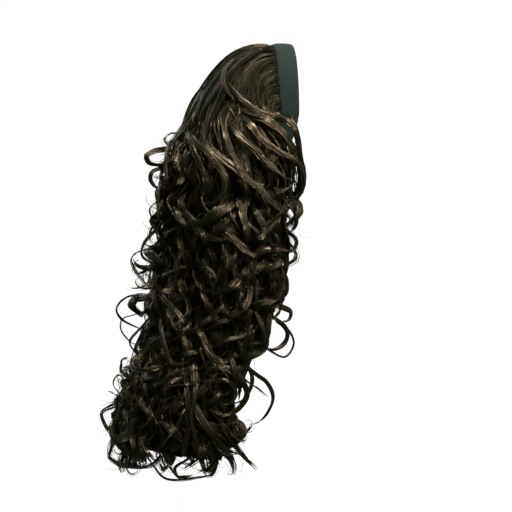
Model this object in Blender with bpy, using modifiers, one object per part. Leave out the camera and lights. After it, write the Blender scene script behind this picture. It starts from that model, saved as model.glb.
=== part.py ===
"""Half wig on a headband: a padded band, a sewn base cap behind it, combed crown hair and three falls of curls.

Metres. +X is the wearer's front, +Y the wearer's left, +Z up. The origin is on top of the head, under the
middle of the band.
"""

import math
from collections import namedtuple

import bmesh
import bpy
from mathutils import Vector

# The head that the wig sits on
HEAD_HALF_WIDTH = 0.076
HEAD_BACK = 0.078
CROWN_TO_EAR = 0.100
EAR_TO_NAPE = 0.130
HEAD_SQUARENESS = 2.4

# The band and the cap
BAND_WIDTH = 0.025
BAND_THICKNESS = 0.0045
BAND_EDGE_ROUNDING = 0.0012
BAND_END_WIDTH = 0.013
BAND_END_ANGLE = math.radians(108)
BAND_END_SETBACK = 0.005
CAP_THICKNESS = 0.0016
CAP_NAPE_ANGLE = math.radians(112)
CAP_EAR_ANGLE = math.radians(86)
SEAM_GAP = 0.0003

# The hair
CROWN_HAIR_AT_BAND = 0.0048
CROWN_SWELL = 1.3
COMB_RIDGE = 0.0016
HAIR_BEHIND_HEAD = 0.134
HAIR_BESIDE_HEAD = 0.037
HAIR_DROP = 0.425
FALL_CLEARANCE = 0.0012
FALL_SPLIT = 0.5
LOCK_RIDGE = 0.005
LOCK_WAVE = 0.035

CAP_FRONT = -(BAND_WIDTH / 2 + SEAM_GAP)
EAR_CENTRE = Vector((CAP_FRONT, 0, -CROWN_TO_EAR))
CAP_DEPTH = HEAD_BACK + CAP_FRONT
HAIR_BACK = HEAD_BACK + HAIR_BEHIND_HEAD
HAIR_HALF_WIDTH = HEAD_HALF_WIDTH + HAIR_BESIDE_HEAD

# The falls, a row for each level. depth is a share of HAIR_DROP below the ears. back, centre and front
# are shares of HAIR_BACK, and width of HAIR_HALF_WIDTH. The hollow for head, neck and shoulders has
# shares of HEAD_BACK and HEAD_HALF_WIDTH.
Level = namedtuple("Level", "depth back centre front width hollow_back hollow_centre hollow_width")
LEVELS = (
    Level(0.00, 0.60, -0.06, -0.075, 0.91, 1.00, -0.16, 1.00),
    Level(0.09, 0.675, -0.05, 0.050, 0.935, 1.00, 0.03, 1.00),
    Level(0.19, 0.705, -0.08, 0.052, 0.945, 0.80, 0.05, 0.95),
    Level(0.33, 0.735, -0.14, 0.025, 0.94, 0.52, 0.20, 0.80),
    Level(0.47, 0.78, -0.21, 0.005, 0.945, 0.56, 0.15, 0.82),
    Level(0.61, 0.835, -0.28, -0.035, 0.96, 0.85, -0.05, 0.93),
    Level(0.75, 0.92, -0.38, -0.165, 0.98, 1.22, -0.30, 1.00),
    Level(0.87, 0.985, -0.47, -0.200, 0.97, 1.45, -0.55, 0.98),
    Level(1.00, 0.90, -0.50, -0.320, 0.84, 1.60, -0.85, 0.74),
)
FALL_STEPS = 12

# The curls, a row for each tier. top and tip are depths, curl the radius of its turns, thick the radius
# of the lock, turns how often it winds, and flick how far its tip stands out.
Tier = namedtuple("Tier", "top tip curl thick turns flick side_places back_places")
TIERS = (
    Tier(0.05, 0.36, 0.009, 0.010, 1.5, 0.016, (0.72, 0.93), (-0.30, -0.10, 0.10, 0.30)),
    Tier(0.24, 0.60, 0.010, 0.010, 1.8, 0.014, (0.70, 0.92), (-0.32, -0.12, 0.08, 0.28)),
    Tier(0.46, 0.84, 0.011, 0.010, 1.9, 0.012, (0.72, 0.90), (-0.29, -0.09, 0.11, 0.31)),
    Tier(0.70, 1.06, 0.011, 0.009, 1.8, 0.008, (0.73, 0.90), (-0.31, -0.11, 0.09, 0.29)),
)
LOCK_POINTS = 17
LOCK_SINK = 0.45
LOCK_ROOT_SINK = 0.012
LOCK_TIP_SHARE = 0.3

BAND_FABRIC = ((0.035, 0.045, 0.043), 0.85)
CAP_NET = ((0.030, 0.022, 0.016), 0.80)
HAIR_FIBRE = ((0.022, 0.016, 0.010), 0.40)


def clear_scene():
    for obj in list(bpy.data.objects):
        bpy.data.objects.remove(obj, do_unlink=True)


def new_collection(name, helpers=False):
    collection = bpy.data.collections.new(name)
    bpy.context.scene.collection.children.link(collection)
    collection.hide_render = helpers
    return collection


def finish_of(name, colour, roughness):
    material = bpy.data.materials.new(name)
    material.use_nodes = True
    shader = material.node_tree.nodes["Principled BSDF"]
    shader.inputs["Base Color"].default_value = (*colour, 1)
    shader.inputs["Roughness"].default_value = roughness
    return material


def add_mesh(name, bm, collection, material=None):
    bmesh.ops.recalc_face_normals(bm, faces=bm.faces)
    mesh = bpy.data.meshes.new(name)
    bm.to_mesh(mesh)
    bm.free()
    obj = bpy.data.objects.new(name, mesh)
    collection.objects.link(obj)
    if material:
        mesh.materials.append(material)
    mesh.shade_smooth()
    return obj


def sheet(rows, columns, place):
    """An open grid shaped by place(row share, column share)."""
    bm = bmesh.new()
    bmesh.ops.create_grid(bm, x_segments=rows, y_segments=columns, size=0.5)
    for vertex in bm.verts:
        vertex.co = place(vertex.co.x + 0.5, vertex.co.y + 0.5)
    return bm


def loft(rings):
    """A closed solid through rings of as many points each, with both ends filled.

    Each side face is folded along the diagonal whose upper end lies farther out, so that two solids which
    meet along a twisted face are folded alike.
    """
    bm = bmesh.new()
    made = [[bm.verts.new(point) for point in ring] for ring in rings]
    count = len(made[0])
    for upper, lower in zip(made, made[1:]):
        for i in range(count):
            near, far = upper[i], upper[(i + 1) % count]
            below_near, below_far = lower[i], lower[(i + 1) % count]
            if near.co.xy.length > far.co.xy.length:
                bm.faces.new((near, far, below_far))
                bm.faces.new((near, below_far, below_near))
            else:
                bm.faces.new((near, far, below_near))
                bm.faces.new((far, below_far, below_near))
    bm.faces.new(made[0])
    bm.faces.new(made[-1])
    return bm


def solidify_outward(obj, thickness, away_from):
    """Solidify away from a point inside, whichever way the sheet's faces turn."""
    face = obj.data.polygons[0]
    outward = face.normal.dot(face.center - away_from) > 0
    shell = obj.modifiers.new("wall", "SOLIDIFY")
    shell.thickness = thickness
    shell.offset = 1 if outward else -1
    return shell


def signed_power(value, power):
    return math.copysign(abs(value) ** power, value)


def head_radius(direction, middle):
    """How far the head's surface lies from a middle between the ears, in this direction."""
    drop = EAR_TO_NAPE if direction.z < 0 else CROWN_TO_EAR
    axes = (HEAD_BACK + middle.x, HEAD_HALF_WIDTH, drop)
    shares = sum(abs(part / axis) ** HEAD_SQUARENESS for part, axis in zip(direction, axes))
    return shares ** (-1 / HEAD_SQUARENESS)


def weft_direction(back_angle, side_angle):
    """From between the ears: back_angle turns from straight up to straight back, side_angle to the left."""
    ahead = math.cos(side_angle)
    return Vector((-ahead * math.sin(back_angle), math.sin(side_angle), ahead * math.cos(back_angle)))


def cap_point(back_angle, side_angle, offset=0.0):
    direction = weft_direction(back_angle, side_angle)
    return EAR_CENTRE + direction * (head_radius(direction, EAR_CENTRE) + offset)


# The band


def band_point(along, across):
    """A point of the band's inner face: along from the right end to the left, across from rear to front."""
    angle = (along - 0.5) * 2 * BAND_END_ANGLE
    direction = Vector((0, math.sin(angle), math.cos(angle)))
    narrowing = max(0.0, (abs(angle) / BAND_END_ANGLE - 0.72) / 0.28) ** 1.5
    width = BAND_WIDTH + (BAND_END_WIDTH - BAND_WIDTH) * narrowing
    middle = Vector((0, 0, -CROWN_TO_EAR))
    shift = -BAND_END_SETBACK * narrowing + (across - 0.5) * width
    return middle + direction * head_radius(direction, middle) + Vector((shift, 0, 0))


def make_headband(collection, material):
    band = add_mesh("headband", sheet(30, 3, band_point), collection, material)
    solidify_outward(band, BAND_THICKNESS, Vector((0, 0, -CROWN_TO_EAR)))
    rounding = band.modifiers.new("soft_edge", "BEVEL")
    rounding.width = BAND_EDGE_ROUNDING
    rounding.segments = 1
    rounding.limit_method = "ANGLE"
    rounding.angle_limit = math.radians(50)
    return band


# The cap and the combed hair on it

CAP_COLUMNS = 20
CROWN_ROWS = 6


def make_wig_cap(collection, material):
    nape_rows = 2

    def place(row, column):
        crown_share = CROWN_ROWS / (CROWN_ROWS + nape_rows)
        if row <= crown_share:
            back = math.pi / 2 * row / crown_share
        else:
            below = (row - crown_share) / (1 - crown_share)
            back = math.pi / 2 + (CAP_NAPE_ANGLE - math.pi / 2) * below
        return cap_point(back, (column * 2 - 1) * CAP_EAR_ANGLE)

    cap = add_mesh("wig_cap", sheet(CROWN_ROWS + nape_rows, CAP_COLUMNS, place), collection, material)
    solidify_outward(cap, CAP_THICKNESS, EAR_CENTRE)
    return cap


def crown_thickness(back_angle, side_angle):
    """The combed hair is thin where it leaves the band and swells to meet the falls at ear level."""
    level = LEVELS[0]
    direction = weft_direction(math.pi / 2, side_angle)
    back_axis = level.back * HAIR_BACK + EAR_CENTRE.x
    side_axis = level.width * HAIR_HALF_WIDTH
    rim = math.hypot(direction.x / back_axis, direction.y / side_axis) ** -1
    at_rim = rim - head_radius(direction, EAR_CENTRE)
    share = (back_angle / (math.pi / 2)) ** CROWN_SWELL
    return CROWN_HAIR_AT_BAND + (at_rim - CROWN_HAIR_AT_BAND) * share


def make_crown_hair(collection, material):
    columns = 2 * CAP_COLUMNS
    rings = []
    for row in range(CROWN_ROWS + 1):
        back = math.pi / 2 * row / CROWN_ROWS
        sides = [(2 * i / columns - 1) * CAP_EAR_ANGLE for i in range(columns + 1)]
        inner = [cap_point(back, side, CAP_THICKNESS + 2 * SEAM_GAP) for side in sides]
        outer = []
        for i, side in enumerate(sides):
            ridge = COMB_RIDGE * (i % 2) * math.sin(math.pi * min(1, row / 3) / 2)
            outer.append(cap_point(back, side, crown_thickness(back, side) - ridge))
        rings.append(outer + inner[::-1])
    return add_mesh("crown_hair", loft(rings), collection, material)


# The falls


def level_at(depth):
    """The row of LEVELS at any depth, on a smooth curve through the rows."""
    last = len(LEVELS) - 1
    i = next((n for n in range(last) if depth <= LEVELS[n + 1].depth), last - 1)
    near = [LEVELS[max(0, min(last, i + step))] for step in (-1, 0, 1, 2)]
    span = near[2].depth - near[1].depth
    t = (depth - near[1].depth) / span
    values = [depth]
    for name in Level._fields[1:]:
        before, start, end, after = (getattr(row, name) for row in near)
        rise_in = (end - before) / max(span, near[2].depth - near[0].depth) * span
        rise_out = (after - start) / max(span, near[3].depth - near[1].depth) * span
        values.append(
            start * (2 * t**3 - 3 * t**2 + 1)
            + rise_in * (t**3 - 2 * t**2 + t)
            + end * (3 * t**2 - 2 * t**3)
            + rise_out * (t**3 - t**2)
        )
    return Level(*values)


def height_of(depth):
    return -CROWN_TO_EAR - SEAM_GAP - depth * HAIR_DROP


def arc_point(around, back, centre, front, half_width, squareness, height):
    """A point of a level's curve: around runs from -1, the right front edge, over the back to 1, the left."""
    reach = centre - back
    turned = math.acos(max(-1.0, min(1.0, signed_power((centre - front) / reach, squareness / 2))))
    angle = turned * around
    x = centre - reach * signed_power(math.cos(angle), 2 / squareness)
    y = half_width * signed_power(math.sin(angle), 2 / squareness)
    return Vector((x, y, height))


def outer_point(depth, around, inward=0.0):
    level = level_at(depth)
    point = arc_point(
        around,
        -level.back * HAIR_BACK,
        level.centre * HAIR_BACK,
        level.front * HAIR_BACK,
        level.width * HAIR_HALF_WIDTH,
        2.0,
        height_of(depth),
    )
    middle = Vector((level.centre * HAIR_BACK, 0, height_of(depth)))
    return point + (middle - point).normalized() * inward


def hollow_point(depth, around):
    """The inner face: it clears the cap at the head, and then the neck and the shoulders."""
    level = level_at(depth)
    wall = CAP_THICKNESS + FALL_CLEARANCE
    return arc_point(
        around,
        -level.hollow_back * HEAD_BACK - wall,
        level.hollow_centre * HEAD_BACK,
        level.front * HAIR_BACK,
        level.hollow_width * HEAD_HALF_WIDTH + BAND_THICKNESS + FALL_CLEARANCE,
        HEAD_SQUARENESS,
        height_of(depth),
    )


def fall_core(start, end, columns):
    """The body of a fall between two places around, with a ridge for each lock, waving as it goes down."""
    rings = []
    for step in range(FALL_STEPS + 1):
        depth = step / FALL_STEPS
        outer, inner = [], []
        for i in range(columns + 1):
            share = i / columns
            around = start + (end - start) * share
            inside = 0 < i < columns
            sway = LOCK_WAVE * math.sin(depth * 8 * math.pi + i) if inside and step else 0
            outer.append(outer_point(depth, around + sway, LOCK_RIDGE * (i % 2) if step else 0))
            inner.append(hollow_point(depth, around))
        rings.append(outer + inner[::-1])
    return loft(rings)


def lock_path(tier, around, hand):
    """A lock's points and its thickness there: out of the core, down in widening turns, to a flicked tip."""
    points, shares = [], []
    for i in range(LOCK_POINTS):
        t = i / (LOCK_POINTS - 1)
        depth = tier.top + (tier.tip - tier.top) * t
        held = min(depth, 1.0)
        centre = outer_point(held, around, tier.thick * LOCK_SINK)
        centre.z = height_of(depth)
        level = level_at(held)
        out = centre - Vector((level.centre * HAIR_BACK, 0, centre.z))
        out.normalize()
        across = Vector((0, 0, 1)).cross(out)
        angle = hand * 2 * math.pi * tier.turns * t
        growth = min(1.0, t * 3)
        swing = out * math.cos(angle) + across * math.sin(angle)
        sink = LOCK_ROOT_SINK * max(0.0, 1 - t * 4)
        flick = tier.flick * max(0.0, (t - 0.7) / 0.3) ** 2
        points.append(centre + swing * tier.curl * growth + out * (flick - sink))
        shares.append(1 - (1 - LOCK_TIP_SHARE) * max(0.0, (t - 0.55) / 0.45) ** 1.5)
    return points, shares


def add_lock(name, tier, around, hand, collection):
    points, shares = lock_path(tier, around, hand)
    curve = bpy.data.curves.new(name, "CURVE")
    curve.dimensions = "3D"
    curve.bevel_depth = tier.thick
    curve.bevel_resolution = 1
    curve.use_fill_caps = True
    spline = curve.splines.new("POLY")
    spline.points.add(len(points) - 1)
    for knot, point, share in zip(spline.points, points, shares):
        knot.co = (*point, 1)
        knot.radius = share
    tube = bpy.data.objects.new(name + "_guide", curve)
    collection.objects.link(tube)
    bpy.context.view_layer.update()
    evaluated = tube.evaluated_get(bpy.context.evaluated_depsgraph_get())
    mesh = bpy.data.meshes.new_from_object(evaluated)
    bpy.data.objects.remove(tube, do_unlink=True)
    bm = bmesh.new()
    bm.from_mesh(mesh)
    bmesh.ops.remove_doubles(bm, verts=bm.verts, dist=0.00001)
    bmesh.ops.recalc_face_normals(bm, faces=bm.faces)
    bm.to_mesh(mesh)
    bm.free()
    lock = bpy.data.objects.new(name, mesh)
    lock.display_type = "WIRE"
    lock.hide_render = True
    collection.objects.link(lock)
    return lock


def make_fall(name, start, end, columns, places, collection, material):
    fall = add_mesh(name, fall_core(start, end, columns), collection, material)
    locks = new_collection(name + "_locks", helpers=True)
    for number, (tier, around) in enumerate(places):
        hand = 1 if number % 2 else -1
        add_lock(f"{name}_lock_{number}", tier, around, hand, locks)
    fuse = fall.modifiers.new("locks", "BOOLEAN")
    fuse.operation = "UNION"
    fuse.operand_type = "COLLECTION"
    fuse.collection = locks
    fuse.solver = "EXACT"
    return fall


def make_falls(collection, material):
    gap = SEAM_GAP / (HAIR_HALF_WIDTH * 2)
    right = [(tier, -place) for tier in TIERS for place in tier.side_places]
    back = [(tier, place) for tier in TIERS for place in tier.back_places]
    left = [(tier, place) for tier in TIERS for place in tier.side_places]
    make_fall("right_fall", -1, -FALL_SPLIT - gap, 6, right, collection, material)
    make_fall("back_fall", -FALL_SPLIT + gap, FALL_SPLIT - gap, 12, back, collection, material)
    make_fall("left_fall", FALL_SPLIT + gap, 1, 6, left, collection, material)


def main():
    clear_scene()
    parts = new_collection("half_wig")
    hair = finish_of("hair_fibre", *HAIR_FIBRE)
    make_headband(parts, finish_of("band_fabric", *BAND_FABRIC))
    make_wig_cap(parts, finish_of("cap_net", *CAP_NET))
    make_crown_hair(parts, hair)
    make_falls(parts, hair)


main()
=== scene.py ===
"""The looks of a half wig on a headband: combed crown hair and curled locks, each lock a bundle of strands.

Run as a script. Metres. +X is the wearer's front, +Y the wearer's left, +Z up.
"""

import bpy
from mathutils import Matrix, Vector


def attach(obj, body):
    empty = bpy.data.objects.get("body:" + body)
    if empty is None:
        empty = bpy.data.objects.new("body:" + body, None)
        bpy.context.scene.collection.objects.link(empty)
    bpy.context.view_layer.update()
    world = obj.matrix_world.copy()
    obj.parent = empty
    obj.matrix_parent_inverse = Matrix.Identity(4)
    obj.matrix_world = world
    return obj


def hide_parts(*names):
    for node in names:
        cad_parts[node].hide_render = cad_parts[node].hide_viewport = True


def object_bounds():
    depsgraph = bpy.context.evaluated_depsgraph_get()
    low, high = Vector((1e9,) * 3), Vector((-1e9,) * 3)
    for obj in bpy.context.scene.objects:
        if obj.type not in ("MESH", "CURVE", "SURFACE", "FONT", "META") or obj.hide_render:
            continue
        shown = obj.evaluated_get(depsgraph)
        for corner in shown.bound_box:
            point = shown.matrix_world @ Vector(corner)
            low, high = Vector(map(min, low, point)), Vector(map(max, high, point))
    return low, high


bl_info = {
    "name": "Half Wig",
    "version": (1, 0, 0),
    "blender": (4, 5, 0),
    "location": "3D View > Sidebar > Wig",
    "description": "Dresses the half wig with combed hair, curls, band fabric and a stage",
    "category": "Object",
}

import math
from collections import namedtuple

import bpy
import numpy as np
from mathutils import Vector

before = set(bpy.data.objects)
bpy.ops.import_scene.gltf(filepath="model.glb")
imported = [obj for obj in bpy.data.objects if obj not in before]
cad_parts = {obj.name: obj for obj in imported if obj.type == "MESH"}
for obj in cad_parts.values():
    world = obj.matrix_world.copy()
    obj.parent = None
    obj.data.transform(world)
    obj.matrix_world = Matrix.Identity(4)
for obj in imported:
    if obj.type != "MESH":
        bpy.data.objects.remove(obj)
CAD_BOX = [list(corner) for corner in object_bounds()]

# Sizes that the solids have too
HEAD_HALF_WIDTH = 0.076
HEAD_BACK = 0.078
CROWN_TO_EAR = 0.100
EAR_TO_NAPE = 0.130
HEAD_SQUARENESS = 2.4
BAND_WIDTH = 0.025
BAND_THICKNESS = 0.0045
BAND_END_WIDTH = 0.013
BAND_END_ANGLE = math.radians(108)
BAND_END_SETBACK = 0.005
CAP_THICKNESS = 0.0016
SEAM_GAP = 0.0003
CROWN_HAIR_AT_BAND = 0.0048
CROWN_SWELL = 1.3
HAIR_BACK = HEAD_BACK + 0.134
HAIR_HALF_WIDTH = HEAD_HALF_WIDTH + 0.037
HAIR_DROP = 0.425
CAP_FRONT = -(BAND_WIDTH / 2 + SEAM_GAP)
EAR_CENTRE = np.array([CAP_FRONT, 0.0, -CROWN_TO_EAR])

Level = namedtuple("Level", "depth back centre front width hollow_back hollow_centre hollow_width")
LEVELS = (
    Level(0.00, 0.60, -0.06, -0.075, 0.91, 1.00, -0.16, 1.00),
    Level(0.09, 0.675, -0.05, 0.050, 0.935, 1.00, 0.03, 1.00),
    Level(0.19, 0.705, -0.08, 0.052, 0.945, 0.80, 0.05, 0.95),
    Level(0.33, 0.735, -0.14, 0.025, 0.94, 0.52, 0.20, 0.80),
    Level(0.47, 0.78, -0.21, 0.005, 0.945, 0.56, 0.15, 0.82),
    Level(0.61, 0.835, -0.28, -0.035, 0.96, 0.85, -0.05, 0.93),
    Level(0.75, 0.92, -0.38, -0.165, 0.98, 1.22, -0.30, 1.00),
    Level(0.87, 0.985, -0.47, -0.200, 0.97, 1.45, -0.55, 0.98),
    Level(1.00, 0.90, -0.50, -0.320, 0.84, 1.60, -0.85, 0.74),
)

# Locks, a row for each tier from the crown down. start and end are flow places: -1 at the band, 0 at ear
# level and 1 at the lowest level. wave, pitch, width and hook (the radius of the curled end) are in metres.
Tier = namedtuple("Tier", "start end count strands wave pitch width hook ride")
TIERS = (
    Tier(-0.62, 0.16, 18, 6, 0.0050, 0.100, 0.011, 0.0110, 0.0005),
    Tier(-0.46, 0.26, 26, 6, 0.0085, 0.105, 0.014, 0.0120, 0.0000),
    Tier(-0.26, 0.38, 30, 6, 0.0105, 0.100, 0.014, 0.0125, -0.0015),
    Tier(-0.08, 0.51, 32, 6, 0.0115, 0.095, 0.013, 0.0125, -0.0030),
    Tier(0.10, 0.65, 32, 6, 0.0115, 0.090, 0.013, 0.0125, -0.0035),
    Tier(0.26, 0.75, 32, 6, 0.0115, 0.085, 0.012, 0.0120, -0.0040),
    Tier(0.42, 0.84, 32, 6, 0.0110, 0.080, 0.012, 0.0115, -0.0040),
    Tier(0.56, 0.92, 36, 7, 0.0080, 0.070, 0.014, 0.0100, -0.0045),
    Tier(0.66, 0.96, 40, 7, 0.0065, 0.060, 0.016, 0.0085, -0.0070),
)
LOCK_KNOTS = 40
CORE_KNOTS = 44
STRAND_HALF = 0.00048

# How far the hair lies in from the solids' surface down the middle of the back, by flow place
BackDip = namedtuple("BackDip", "place depth")
BACK_DIPS = (
    BackDip(-1.00, 0.003),
    BackDip(-0.60, 0.005),
    BackDip(-0.10, 0.006),
    BackDip(0.10, 0.006),
    BackDip(0.18, 0.010),
    BackDip(0.29, 0.008),
    BackDip(0.40, 0.010),
    BackDip(0.60, 0.015),
    BackDip(0.70, 0.014),
    BackDip(0.78, 0.008),
    BackDip(0.88, 0.003),
    BackDip(1.00, 0.006),
)

# Where the photo was taken from, in metres. PICTURE_WIDTH is what the picture spans at the target.
CAMERA_AZIMUTH = math.radians(-7)
CAMERA_ELEVATION = math.radians(2)
CAMERA_DISTANCE = 2.1
CAMERA_TARGET = (-0.031, 0.0, -0.260)
PICTURE_WIDTH = 0.64
PICTURE_PIXELS = 512

# The stretch of hair that is searched for what a pixel shows, in flow places, and the most that a lock may
# rise above its lift there, in millimetres
SEEN_AROUND = (-1.16, 0.30)
SEEN_PLACE = (-0.99, 1.005)
SEEN_STEP = 0.004
HIGHEST_RISE = 60

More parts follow.
